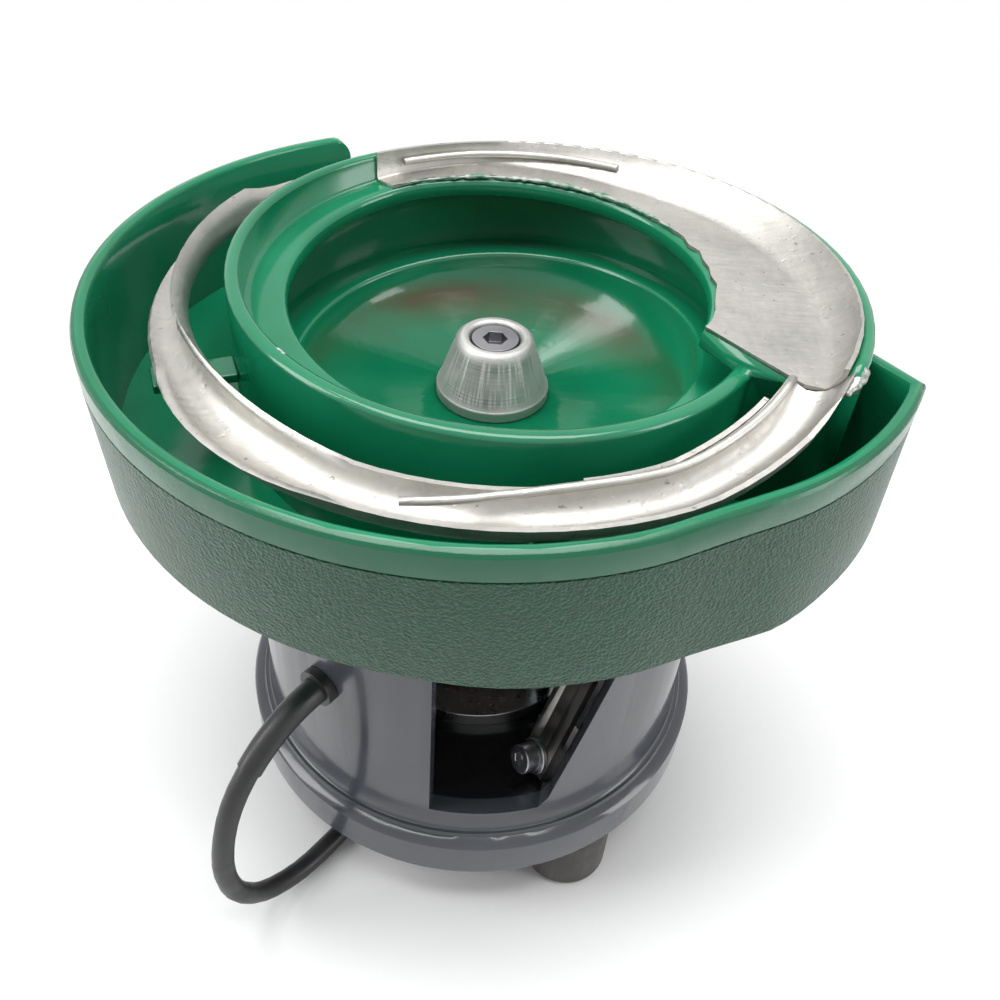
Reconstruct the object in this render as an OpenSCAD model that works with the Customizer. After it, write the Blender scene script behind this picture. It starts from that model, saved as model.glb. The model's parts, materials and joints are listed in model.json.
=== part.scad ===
// Vibratory bowl feeder: a small bench feeder with a cast spiral bowl, an outer
// return pan, a steel discharge channel, a sprung magnet drive and rubber feet.
// Millimetres. The drive axis is Z, the floor is z = 0.
// Angles "phi" run clockwise seen from above, from +X (the way parts travel).

/* [Feet] */
// Diameter of each rubber foot
foot_d = 22;
// [20:0.5:24]
// Height of each rubber foot, which sets the height of everything above
foot_h = 19;
// [16:1:24]
// Radius of the circle the feet stand on
foot_r = 49;
// [48:0.5:49]

/* [Base] */
// Radius of the base flange
flange_r = 60;
// [60:0.5:64]
// Thickness of the base flange
flange_t = 12;
// [12:0.5:14]
// Outer radius of the drive housing
body_r = 55;
// [54.5:0.1:55]
// Radius of the coil bore inside the housing
body_in_r = 50.5;
// [50.2:0.1:50.8]

/* [Drive] */
// Air gap between the magnet core and the armature
air_gap = 1;
// [0.5:0.1:1.4]
// Width of a leaf spring
spring_w = 9;
// [8:0.5:9.5]
// Thickness of a leaf spring
spring_t = 2;
// [1.6:0.1:2.2]
// Lean of the leaf springs from upright
spring_lean = 18;
// [16:0.5:19]

/* [Return pan] */
// Depth of the pan wall above its underside
pan_h = 31.4;
// [28:0.2:34]
// Thickness of the pan wall
pan_wall = 3;
// [2.5:0.1:3.4]

/* [Spiral bowl] */
// Rise of the spiral track in one turn
track_rise = 20;
// [19:0.1:20]
// Inner radius of the spiral track
track_r = 42.5;
// [41.5:0.1:43]
// Thickness of the upper turn of the track
track_t = 4;
// [3.6:0.1:5]

/* [Discharge channel] */
// Radius of the channel centre line round the drive axis
chan_r = 66.8;
// [66.5:0.1:67]
// Half width of the half-round channel
chan_w = 4.2;
// [4:0.1:4.4]

/* [Cable] */
// Diameter of the power cable
cable_d = 5;
// [4.6:0.1:5.2]

/* [Hidden] */
$fn = 64;

// heights of the base, all above the feet
fl_z = foot_h;
fl_top = fl_z + flange_t;
in_z = fl_top + 6.5;
body_top = fl_z + 73;
plate_z = fl_z + 77;
pan_z = fl_z + 95;
pan_top = pan_z + pan_h;
bowl_z = pan_z + 3;
well_z = bowl_z + 3;
level_z = bowl_z + 33;
lift = fl_z - 19;
thirds = [0, 120, 240];
foot_phi = 56;
window_phi = 98.5;
spring_phi = 58.8;
spring_r = 44.5;
spring_mid = fl_z + 45;
clamp_low = -21.5;
clamp_up = 18;
exit_phi = 127;
exit_z = fl_z + 50;
steel = [0.80, 0.79, 0.77];
enamel = [0.47, 0.50, 0.56];
green = [0.10, 0.50, 0.33];
rubber = [0.16, 0.16, 0.16];
dark = [0.25, 0.25, 0.26];

// a place in the shared frame, and a move to it
function at(r, phi, z) = [r * cos(phi), -r * sin(phi), z];
function mix(a, b, t) = a + (b - a) * t;
function clamp01(t) = t < 0 ? 0 : t > 1 ? 1 : t;
function ease(t) = 0.5 - 0.5 * cos(180 * clamp01(t));
module place(r, phi, z) {
  rotate([0, 0, -phi])
    translate([r, 0, z])
      children();
}

// skin closed round a list of rings; closed = true joins the last ring to the first
function skin_sides(n, m, closed) = [
  for (i = [0 : (closed ? n - 1 : n - 2)], j = [0 : m - 1])
    let (a = i * m, b = ((i + 1) % n) * m, k = (j + 1) % m)
    [a + j, b + j, b + k, a + k]
];
// strip = true caps the ends of a thin sheet with quads across its thickness
module skin(rings, closed = false, flip = false, strip = false) {
  n = len(rings);
  m = len(rings[0]);
  pts = [for (r = rings) for (p = r) p];
  sides = skin_sides(n, m, closed);
  cap = strip ? [for (j = [0 : m / 2 - 2]) [j, j + 1, m - 2 - j, m - 1 - j]]
    : [[for (j = [0 : m - 1]) j]];
  far = [for (f = cap) [for (k = [len(f) - 1 : -1 : 0]) (n - 1) * m + f[k]]];
  all_f = closed ? sides : concat(cap, sides, far);
  tri = [for (f = all_f)
    each (len(f) == 4 ? [[f[0], f[1], f[2]], [f[0], f[2], f[3]]] : [f])];
  polyhedron(points = pts, faces = flip ? [for (f = tri) [for (k = [len(f) - 1 : -1 : 0]) f[k]]] : tri,
    convexity = 10);
}

// ---------------------------------------------------------------- feet
module foot(i) {
  color(rubber)
    place(foot_r, foot_phi + thirds[i], 0)
      difference() {
        rotate_extrude($fn = 72)
          polygon([[0, 0], [foot_d / 2 - 1.2, 0], [foot_d / 2, 1.2],
            [foot_d / 2, foot_h - 1], [foot_d / 2 - 1, foot_h], [0, foot_h]]);
        translate([0, 0, -1])
          cylinder(r = 2.5, h = 9, $fn = 32);
        translate([0, 0, foot_h - 5])
          cylinder(r = 3, h = 6, $fn = 32);
      }
}
module rubber_foot_1() foot(0);
module rubber_foot_2() foot(1);
module rubber_foot_3() foot(2);
module foot_studs() {
  color(steel)
    for (a = thirds)
      place(foot_r, foot_phi + a, foot_h - 5)
        cylinder(r = 3, h = 15, $fn = 32);
}

// ---------------------------------------------------------------- base
module body_turned() {
  fil = [for (t = [0 : 15 : 90]) [body_r + 1.3 * (1 - sin(t)), fl_top + 1 + 6 * (1 - cos(t))]];
  rotate_extrude($fn = 144)
    polygon(concat(
      [[0, fl_top], [29, fl_top], [29, fl_z + 2], [36, fl_z + 2], [36, fl_z],
       [flange_r - 0.8, fl_z], [flange_r, fl_z + 0.8], [flange_r, fl_top - 1.2],
       [flange_r - 0.9, fl_top - 0.2], [flange_r - 2.6, fl_top + 0.2],
       [flange_r - 3.0, fl_top + 1], [flange_r - 3.5, fl_top + 1]],
      fil,
      [[body_r, body_top - 1], [body_r - 1, body_top], [body_in_r, body_top],
       [body_in_r, in_z + 2], [body_in_r - 2, in_z], [0, in_z]]));
}
// one opening in the housing, open at the top, with one leaning side
module window_cut() {
  rotate([0, 0, -window_phi])
    rotate([90, 0, 90])
      translate([0, 0, 30])
        linear_extrude(40)
          polygon([[0, in_z + 0.1], [25, in_z + 0.1], [27, in_z + 3],
            [37, body_top - 12], [42, body_top + 2], [0, body_top + 2]]);
}
// frame of a leaf spring: X outwards, Z along the strip, +Y the side it is seated on
module at_spring(a, h = 0) {
  place(0, spring_phi + a, 0)
    translate([spring_r, 0, spring_mid])
      rotate([-spring_lean, 0, 0])
        translate([0, 0, h])
          children();
}
module base_casting() {
  color(enamel)
    difference() {
      union() {
        difference() {
          body_turned();
          for (a = thirds)
            rotate([0, 0, -a])
              window_cut();
        }
        // leaning blocks that the lower ends of the springs are clamped to
        for (a = thirds)
          at_spring(a)
            translate([-6.5, spring_t / 2, -28.6])
              cube([13, 8, 13.6]);
      }
      for (a = thirds) {
        place(foot_r, foot_phi + a, fl_z - 1)
          cylinder(r = 3, h = 12, $fn = 32);
        place(33, 20 + a, fl_z + 1)
          cylinder(r = 1.5, h = 8, $fn = 24);
        place(26, 50 + a, fl_top + 0.5)
          cylinder(r = 2, h = 7, $fn = 24);
        at_spring(a, clamp_low)
          rotate([-90, 0, 0])
            cylinder(r = 2, h = 7.5, $fn = 24);
      }
      place(body_in_r - 6, exit_phi, exit_z)
        rotate([0, 90, 0])
          cylinder(r = 4, h = 20, $fn = 32);
    }
}
module bottom_cover() {
  color(dark)
    difference() {
      translate([0, 0, fl_z])
        cylinder(r = 36, h = 2, $fn = 96);
      for (a = thirds)
        place(33, 20 + a, fl_z - 1)
          cylinder(r = 1.5, h = 4, $fn = 24);
    }
}
module cover_screws() {
  color(steel)
    for (a = thirds)
      place(33, 20 + a, fl_z) {
        cylinder(r = 1.5, h = 8, $fn = 24);
        translate([0, 0, -1.6])
          difference() {
            cylinder(r = 2.8, h = 1.6, $fn = 32);
            translate([0, 0, -0.1])
              cylinder(r = 1.2, h = 0.9, $fn = 16);
          }
      }
}

// ---------------------------------------------------------------- drive
core_top = plate_z - 10 - air_gap;
module magnet_bracket() {
  color(steel)
    difference() {
      translate([0, 0, in_z])
        cylinder(r = 30, h = 4, $fn = 96);
      for (a = thirds)
        place(26, 50 + a, in_z - 1)
          cylinder(r = 2, h = 6, $fn = 24);
    }
}
module magnet_core() {
  color(dark)
    translate([-21, -9, in_z + 4])
      difference() {
        cube([42, 18, core_top - in_z - 4]);
        for (x = [7, 28])
          translate([x, -1, 8])
            cube([7, 20, core_top - in_z]);
      }
}
module coil_winding() {
  color([0.62, 0.30, 0.14])
    translate([0, 0, in_z + 12])
      linear_extrude(core_top - in_z - 16)
        difference() {
          square([28, 31], center = true);
          square([14, 18], center = true);
        }
}
module bracket_screws() {
  color(steel)
    for (a = thirds)
      place(26, 50 + a, in_z + 4) {
        difference() {
          cylinder(r = 3.5, h = 4, $fn = 32);
          translate([0, 0, 2])
            cylinder(r = 1.7, h = 3, $fn = 6);
        }
        translate([0, 0, -10])
          cylinder(r = 2, h = 10, $fn = 24);
      }
}
module leaf(i) {
  color([0.86, 0.83, 0.74])
    at_spring(thirds[i])
      difference() {
        translate([-spring_w / 2, -spring_t / 2, -25.5])
          cube([spring_w, spring_t, 51.5]);
        for (z = [clamp_low, clamp_up])
          translate([0, -5, z])
            rotate([-90, 0, 0])
              cylinder(r = 2, h = 10, $fn = 24);
      }
}
module leaf_spring_1() leaf(0);
module leaf_spring_2() leaf(1);
module leaf_spring_3() leaf(2);
module clamp_ring() {
  rotate([90, 0, 0])
    translate([0, 0, spring_t / 2])
      difference() {
        cylinder(r = 4.4, h = 1.2, $fn = 40);
        translate([0, 0, -1])
          cylinder(r = 2, h = 4, $fn = 24);
      }
}
module cap_screw() {
  rotate([90, 0, 0])
    translate([0, 0, spring_t / 2 + 1.2]) {
      translate([0, 0, -spring_t - 7.2])
        cylinder(r = 2, h = spring_t + 7.2, $fn = 24);
      difference() {
        cylinder(r = 3.5, h = 4, $fn = 32);
        translate([0, 0, 2])
          cylinder(r = 1.7, h = 3, $fn = 6);
      }
    }
}
module lower_clamps() {
  color(steel)
    for (a = thirds)
      at_spring(a, clamp_low)
        clamp_ring();
}
module lower_screws() {
  color(dark)
    for (a = thirds)
      at_spring(a, clamp_low)
        cap_screw();
}
module upper_clamps() {
  color(steel)
    for (a = thirds)
      at_spring(a, clamp_up)
        clamp_ring();
}
module upper_screws() {
  color(dark)
    for (a = thirds)
      at_spring(a, clamp_up)
        cap_screw();
}
// plate under the pan that the springs carry, with three lugs hanging from it
module vibration_plate() {
  up = spring_mid + 20 * cos(spring_lean);
  color([0.55, 0.56, 0.58])
    difference() {
      union() {
        translate([0, 0, plate_z])
          cylinder(r = 47, h = 10, $fn = 96);
        translate([0, 0, plate_z + 9])
          cylinder(r = 16, h = pan_z - plate_z - 9, $fn = 64);
        for (a = thirds) {
          at_spring(a, 12)
            translate([-7.5, spring_t / 2, 0])
              cube([10.5, 6, 13]);
          place(0, spring_phi + a, 0)
            translate([spring_r - 7.5, 26 * sin(spring_lean) + 1.2, up])
              cube([10.5, 5, plate_z - up + 1]);
        }
      }
      translate([0, 0, plate_z + 4])
        cylinder(r = 3, h = 30, $fn = 32);
      for (a = thirds)
        at_spring(a, clamp_up)
          rotate([-90, 0, 0])
            cylinder(r = 2, h = 9, $fn = 24);
      for (x = [-15, 15])
        translate([x, 0, plate_z - 1])
          cylinder(r = 2, h = 8, $fn = 24);
    }
}
module armature() {
  color(dark)
    difference() {
      translate([-21, -9, plate_z - 10])
        cube([42, 18, 10]);
      for (x = [-15, 15])
        translate([x, 0, plate_z - 11]) {
          cylinder(r = 2, h = 12, $fn = 24);
          cylinder(r = 3.8, h = 4, $fn = 32);
        }
    }
}
module armature_screws() {
  color(steel)
    for (x = [-15, 15])
      translate([x, 0, plate_z - 7]) {
        cylinder(r = 2, h = 14, $fn = 24);
        translate([0, 0, -2.6])
          cylinder(r = 3.4, h = 2.6, $fn = 32);
      }
}

// ---------------------------------------------------------------- centre
module centre_bolt() {
  color(steel) {
    translate([0, 0, plate_z + 4])
      cylinder(r = 3, h = well_z + 9 - plate_z - 4, $fn = 32);
    translate([0, 0, well_z + 9])
      difference() {
        cylinder(r = 5, h = 4.4, $fn = 48);
        translate([0, 0, 2])
          cylinder(r = 2.7, h = 3, $fn = 6);
      }
  }
}
module cone_nut() {
  color([0.80, 0.80, 0.78])
    difference() {
      translate([0, 0, well_z])
        rotate_extrude($fn = 96)
          polygon([[0, 0], [12.3, 0], [12.3, 2.3], [11.9, 2.7], [8.3, 13.2], [7.4, 14],
            [6.1, 14], [5.5, 13.4], [5.5, 9], [0, 9]]);
      translate([0, 0, well_z - 1])
        cylinder(r = 3, h = 14, $fn = 32);
    }
}

// ---------------------------------------------------------------- return pan
// distance from the drive axis to a circle round (cx, cy), along phi
function reach(cx, cy, r, phi) =
  let (d = cx * cos(phi) - cy * sin(phi))
  d + sqrt(r * r - cx * cx - cy * cy + d * d);
pan_from = 19.3;
pan_to = 240;
function pan_out(phi) =
  mix(reach(9, 9.1, 79.7, phi), reach(-3.6, 2.6, 80, phi), ease((phi - 45) / 25));
// how far the underside stands outside the rim
function flare(phi) = lookup(phi, [[16, 0.5], [36, 1.5], [48, 2.6], [62, 1.2], [86, 0.2],
  [99, -1.2]]);
function flat(r, p) = [r * cos(p), -r * sin(p)];
function turned(v) = [for (i = [len(v) - 1 : -1 : 0]) v[i]];
seam = pan_top - 6.4;
// section through wall and floor: share of the wall thickness from the outside and height,
// then the same where the floor has no wall
pan_section = [[0, pan_z, 0, pan_z], [0, seam, 0, bowl_z - 0.8],
  [0.13, seam + 0.25, 0, bowl_z - 0.6], [0, seam + 0.5, 0, bowl_z - 0.4],
  [0, pan_top - 1.1, 0, bowl_z - 0.2], [0.12, pan_top - 0.35, 0.1, bowl_z],
  [0.35, pan_top, 0.3, bowl_z], [0.65, pan_top, 0.5, bowl_z],
  [0.88, pan_top - 0.35, 0.7, bowl_z], [1, pan_top - 1.1, 0.85, bowl_z],
  [1, seam, 0.95, bowl_z], [1, bowl_z, 1, bowl_z]];
// one ring of the pan: outer and inner plan point, flare, angle at the centre, wall or not,
// greatest height
function pan_ring(o, i, f, phi, walled, most = 999) = concat(
  [for (q = pan_section)
    let (c = mix(o, i, walled ? q[0] : q[2]), z = walled ? q[1] : q[3],
         d = c + f * clamp01((seam - z) / (seam - pan_z)))
    [d[0], d[1], min(z, most)]],
  [at(2, phi, bowl_z), at(2, phi, pan_z)]);
function wall_at(p, walled = true, most = 999) = let (r = pan_out(p))
  pan_ring(flat(r, p), flat(r - pan_wall, p), flat(flare(p), p), p, walled, most);
// wall height near the free end, whose top corner is rounded
function end_top(a) = pan_top - 5 + sqrt(25 - pow(max(0, 5 - a * 1.45), 2));
module return_pan() {
  none = [0, 0];
  color(green)
    difference() {
      skin(concat(
        [pan_ring([71.95, -11.7], [71.4, -15.8], none, 10.8, false),
         pan_ring([71.98, -11.74], [71.43, -15.84], none, 10.84, true),
         pan_ring([81.5, -24], [77.8, -24.1], [0.4, -0.1], 16.4, true)],
        [for (i = [0 : 74]) wall_at(mix(pan_from, pan_to - 4, i / 74))],
        [for (a = [3.2, 2.4, 1.6, 0.9, 0.4, 0.1, 0]) wall_at(pan_to - a, true, end_top(a))],
        [wall_at(pan_to + 0.03, false)],
        [for (i = [0 : 32]) let (p = mix(pan_to + 0.08, 368, i / 32), r = bowl_out(p))
          pan_ring(flat(r, p), flat(r - pan_wall, p), none, p, false)]),
        closed = true);
      translate([0, 0, pan_z - 1])
        cylinder(r = 3, h = 10, $fn = 32);
    }
}

// ---------------------------------------------------------------- spiral bowl
jump = 28;
start = 75;
lin_t = 0.8;
edge_n = 17.83;
edge_turn = 42.1;
function track_z(phi) = min(level_z - lin_t, well_z + track_rise * (phi - start) / 360);
function bowl_out(t) = t < 237 ? mix(54.5, 53.5, (t - jump) / (237 - jump))
  : 53.5 + 19.9 * ease((t - 237) / 151);
function wall_in(t) = t < 237 ? 51 : max(51, bowl_out(t) - 2.5);
function bend_r(t) = lookup(t, [[237, 51], [290, 51], [302, 50.8], [314, 52.5], [328, 56],
  [360, 64], [jump + 360, 69.5]]);
function rim_z(t) = lift + lookup(t, [[jump, 146.7], [84, 149], [200, 153.2], [232, 153.7]]);
function tilt(t) = 1.2 * (1 - ease((t - 237) / 30));
// how far round the straight end edge of the plate leads or trails at radius r
function shear(r) = r < 65.1 ? acos(edge_n / max(r, 43)) - edge_turn - jump
  : mix(4, 1, (r - 65.1) / 8.3);
function hold(t) = clamp01(1 - min(abs(t - jump), abs(t - jump - 360)) / 14);
function spun(t, pr) = at(pr[0], t + hold(t) * shear(pr[0]), pr[1]);
// rounded nose of a shelf, from its underside corner to its top
function nose(r, z, rr) = [[r, z - rr], [r + 0.3 * rr, z - 0.3 * rr], [r + rr, z]];
function upper_part(t) =
  let (z = track_z(t + 360), c = z - track_t, b = bend_r(t))
  concat([[51, c], [track_r + 0.5, c], [track_r, c + 0.5]], nose(track_r, z, 1.2),
    [[mix(track_r + 1.2, b - 1, 0.85), z - 0.85 * tilt(t)], [b - 1, z - tilt(t)],
     [b, z - tilt(t) + 0.7]]);
function closed_part(t, zl) =
  let (z = mix(rim_z(t) - 1.9, zl + 0.1, (t - jump) / (start - jump)))
  [for (k = [0 : 8]) [51, z + 0.08 * k]];
function bowl_profile(t, filled) =
  let (zl = filled ? track_z(t + 360) : max(track_z(t), well_z + 0.06),
       rr = min(1.2, 0.45 * (zl - well_z)),
       wi = wall_in(t), wo = bowl_out(t), zr = rim_z(t))
  concat([[2, bowl_z], [2, well_z], [track_r, well_z]], nose(track_r, zl, rr),
    [[50, zl - 1.1], [51, zl - 0.4]],
    filled ? closed_part(t, zl) : upper_part(t),
    [[wi, zr - 0.9], [wi + 0.3, zr - 0.25], [wi + 0.9, zr], [wo - 1, zr],
     [wo - 0.3, zr - 0.3], [wo, zr - 1], [wo, bowl_z]]);
function bowl_ring(t, filled) = [for (p = bowl_profile(t, filled)) spun(t, p)];
function turn_step(i) = mix(start, jump + 360, i / 69);
bowl_steps = concat(
  [for (i = [0 : 11]) [mix(jump + 0.2, start - 0.2, i / 11), true]],
  [for (i = [0 : 69]) [turn_step(i), false]]);
module spiral_bowl() {
  color(green)
    difference() {
      skin([for (s = bowl_steps) bowl_ring(s[0], s[1])], closed = true, flip = true);
      translate([0, 0, bowl_z - 1])
        cylinder(r = 3, h = 6, $fn = 32);
    }
}
// its sections are the bowl's own, so that the sheet lies on the track all along
module track_liner() {
  first = floor(69 * (234 - start) / (jump + 360 - start));
  function ragged(t) = 0.35 * sin(37 * t) + 0.25 * sin(101 * t);
  function low(t) =
    let (z = track_z(t + 360), b = bend_r(t), w = wall_in(t), s = tilt(t))
    [[track_r + 0.9 + ragged(t), z, 0, 1], [mix(track_r + 1.2, b - 1, 0.85), z - 0.85 * s, -0.1, 1],
     [b - 1, z - s, -0.4, 0.9], [b, z - s + 0.7, -0.8, 0.6],
     [w, rim_z(t) - 0.9, -1, 0.3], [w, rim_z(t) + 0.8, -1, 0]];
  function sheet(t, off) = [for (p = low(t)) [p[0] + off * p[2], p[1] + off * p[3]]];
  color(steel)
    skin([for (i = [first : 69])
      let (t = turn_step(i))
      [for (p = concat(sheet(t, 0.04), turned(sheet(t, 0.04 + lin_t)))) spun(t, p)]],
      strip = true);
}
module hold_down_wire() {
  function on_wall(t) =
    let (z = track_z(t + 360) - tilt(t) + 0.7, f = 0.62)
    [mix(bend_r(t), wall_in(t), f) - 2, mix(z, rim_z(t) - 0.9, f) + 0.75];
  color(steel)
    skin([for (i = [0 : 16])
      let (t = mix(241, 299, i / 16), c = on_wall(t))
      [for (k = [0 : 9]) at(c[0] + 0.8 * cos(36 * k), t, c[1] + 0.8 * sin(36 * k))]]);
}

// ---------------------------------------------------------------- channel
chan_from = 28.12;
chan_to = 236;
function chan_mid(p) = chan_r + lookup(p, [[33, 0], [120, -0.2], [150, -0.6], [200, -0.2], [236, 0]]);
function chan_z(p) = lift + lookup(p, [[28, 150.2], [33, 149.6], [60, 145], [200, 145.5], [206, 145.5],
  [212, 143], [236, 141]]);
function chan_roll(p) = lookup(p, [[110, 0], [133, 30], [155, 56]]);
// extra height of the outer rim where it meets the end of the track wall
function chan_rise(p) = lookup(p, [[28, 4.6], [31, 3], [36, 0.8], [40, 0]]);
// depth as a share of the full half round: nearly flat where it leaves the track
function chan_deep(p) = lookup(p, [[28, 0.25], [33, 0.6], [42, 1]]);
function trough(p) = [for (s = [0, 1]) for (k = [0 : 8])
  let (a = s == 0 ? 180 + 22.5 * k : 360 - 22.5 * k, wall = s == 0 ? 1 : 0,
       b = a - chan_roll(p), x = (chan_w + wall) * cos(b))
  [x, (chan_w * chan_deep(p) + wall) * sin(b)
    + (x > 0 ? chan_rise(p) * pow(x / (chan_w + 1), 2) : 0)]];
function chan_at(p, x, z) = spun(p, [chan_mid(p) + x, chan_z(p) + z]);
module discharge_channel() {
  turn_rings = [for (i = [0 : 48])
    let (p = mix(chan_from, chan_to, i / 48))
    [for (q = trough(p)) chan_at(p, q[0], q[1])]];
  out_rings = [for (s = [10, 20, 30])
    [for (q = trough(chan_to))
      chan_at(chan_to, q[0], q[1] - 0.05 * s) + s * [-sin(chan_to), -cos(chan_to), 0]]];
  color(steel)
    skin(concat(turn_rings, out_rings), strip = true);
}
module edge_strip() {
  x = -chan_w - 1;
  color(steel)
    skin([for (i = [0 : 12])
      let (p = mix(37.4, 75, i / 12))
      [for (q = [[-1.1, -6], [-0.1, -6], [-0.1, 0.3], [-1.1, 0.3]]) chan_at(p, x + q[0], q[1])]]);
}
// round wire through a list of centre points
function unit(v) = v / norm(v);
function heading(c, i) = unit(c[min(i + 1, len(c) - 1)] - c[max(i - 1, 0)]);
// ref is a direction that the wire never runs along
// r1 and r2 are the radii at its two ends
module wire(c, r1, r2, m, ref = [0, 0, 1]) {
  skin([for (i = [0 : len(c) - 1])
    let (d = heading(c, i), u = unit(cross(ref, d)), w = cross(d, u), r = mix(r1, r2, i / (len(c) - 1)))
    [for (k = [0 : m - 1]) c[i] + r * cos(360 * k / m) * u + r * sin(360 * k / m) * w]]);
}
module guide_wire() {
  path = [for (i = [0 : 22])
    let (p = mix(29.6, 101, i / 22))
    spun(p, [lookup(p, [[30, 62.7], [34, 62.9], [57, 63.2], [73, 62.6], [80, 63.0], [88, 64.6],
      [95, 66.8], [101, 68.7]]), chan_z(p) + 0.85])];
  color(steel)
    wire(path, 0.8, 0.8, 10);
}
// strip from the bowl wall out under the channel, with a web up to it
module bracket(p, drop) {
  z = chan_z(p) - chan_w - 1;
  color(green)
    place(0, p, 0) {
      translate([bowl_out(p) + 0.02, -3.4, z - drop])
        cube([chan_r + 3 - bowl_out(p), 6.8, 2]);
      translate([chan_r - 1, -3.4, z - drop + 2])
        cube([2, 6.8, drop - 2.02]);
    }
}
module channel_bracket_1() bracket(80, 7);
module channel_bracket_2() bracket(158, 6);
module channel_bracket_3() bracket(216, 6);

// ---------------------------------------------------------------- cable
// centre line from the housing to the coil, laid by hand
cable_route = [
  [-29, -38.5, 69], [-33, -44, 69], [-37, -49.3, 68.5], [-41, -54.6, 66.5],
  [-45, -60, 62.5], [-48.5, -64.5, 56.5], [-51, -67.5, 49], [-52.5, -69.5, 40],
  [-53, -70, 31], [-52, -69, 22], [-49.5, -65.5, 13.5], [-46, -60.5, 7.5],
  [-41, -54, 4], [-36, -47, 2.9], [-30, -38, 2.6], [-24, -27, 2.6],
  [-19, -14, 2.6], [-16, 0, 2.6], [-15, 15, 2.6], [-16, 30, 2.6],
  [-20, 44, 2.6], [-26, 57, 2.6], [-33, 70, 2.6], [-37, 83, 2.6], [-37.8, 96, 2.6]
];
// centre line from the coil to the connector
tail_route = [
  [20.7, 129.7, 12.5], [28.7, 126.4, 12.3], [36.7, 121, 11.5], [44, 114, 10.4], [49, 105, 9.5],
  [51.5, 96, 9], [52, 86, 9]
];
coil_at = [0, 98, 0];
coil_r = 30;
plug_x = 52;
// smooth curve through a list of points, with n steps between each pair
function curve_pt(p, i, t) =
  let (n = len(p), a = p[max(i - 1, 0)], b = p[i], c = p[min(i + 1, n - 1)], d = p[min(i + 2, n - 1)])
  0.5 * (2 * b + (c - a) * t + (2 * a - 5 * b + 4 * c - d) * t * t
    + (3 * b - a - 3 * c + d) * t * t * t);
function smooth(p, n) = concat(
  [for (i = [0 : len(p) - 2]) for (j = [0 : n - 1]) curve_pt(p, i, j / n)], [p[len(p) - 1]]);
function raised(p) = [for (q = p) [q[0], q[1], q[2] > 10 ? q[2] : max(q[2], cable_d / 2)]];
cable_path = smooth(raised(cable_route), 3);
cable_ref = [0.8, -0.6, 0];
module strain_relief() {
  color(rubber)
    difference() {
      union() {
        place(0, exit_phi, exit_z)
          rotate([0, 90, 0]) {
            translate([0, 0, body_in_r - 1.5])
              cylinder(r = 3.9, h = body_r - body_in_r + 2.5, $fn = 40);
            translate([0, 0, body_r + 0.05])
              cylinder(r = 4.6, h = 2.2, $fn = 48);
          }
        // sleeve that thins towards its free end
        wire([for (i = [3 : 13]) cable_path[i]], 3.25, 2.9, 20, cable_ref);
      }
      wire([for (i = [0 : 17]) cable_path[i]], cable_d / 2 + 0.04, cable_d / 2 + 0.04, 10, cable_ref);
    }
}
module power_cord() {
  color(dark)
    wire(cable_path, cable_d / 2, cable_d / 2, 10, cable_ref);
}
module cord_tail() {
  color(dark)
    wire(smooth(tail_route, 2), cable_d / 2, cable_d / 2, 10);
}
module cord_coil() {
  color(dark)
    translate(coil_at)
      rotate_extrude($fn = 72)
        translate([coil_r - 1.05 * cable_d, 0])
          square([2.1 * cable_d, 3.1 * cable_d]);
}
module plug_body() {
  color(rubber)
    translate([plug_x, 86, 9])
      rotate([90, 0, 0])
        rotate_extrude($fn = 40)
          polygon([[0, 0], [4.2, 0], [5.6, 8], [7.4, 10], [7.4, 26], [0, 26]]);
}
module plug_collar() {
  color(steel)
    translate([plug_x, 60, 9])
      rotate([90, 0, 0])
        difference() {
          cylinder(r = 9, h = 15, $fn = 48);
          translate([0, 0, 5])
            cylinder(r = 7.2, h = 11, $fn = 40);
        }
}

base_casting();
bottom_cover();
cover_screws();
rubber_foot_1();
rubber_foot_2();
rubber_foot_3();
foot_studs();
magnet_bracket();
magnet_core();
coil_winding();
bracket_screws();
leaf_spring_1();
leaf_spring_2();
leaf_spring_3();
lower_clamps();
lower_screws();
upper_clamps();
upper_screws();
vibration_plate();
armature();
armature_screws();
centre_bolt();
cone_nut();
return_pan();
spiral_bowl();
track_liner();
hold_down_wire();
discharge_channel();
edge_strip();
guide_wire();
channel_bracket_1();
channel_bracket_2();
channel_bracket_3();
strain_relief();
power_cord();
cord_coil();
cord_tail();
plug_body();
plug_collar();
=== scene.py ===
"""Vibratory bowl feeder: cast bowl and return pan on a sprung magnet drive."""
import json
import math
import random
import bmesh
import bpy
from mathutils import Matrix, Vector


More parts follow.
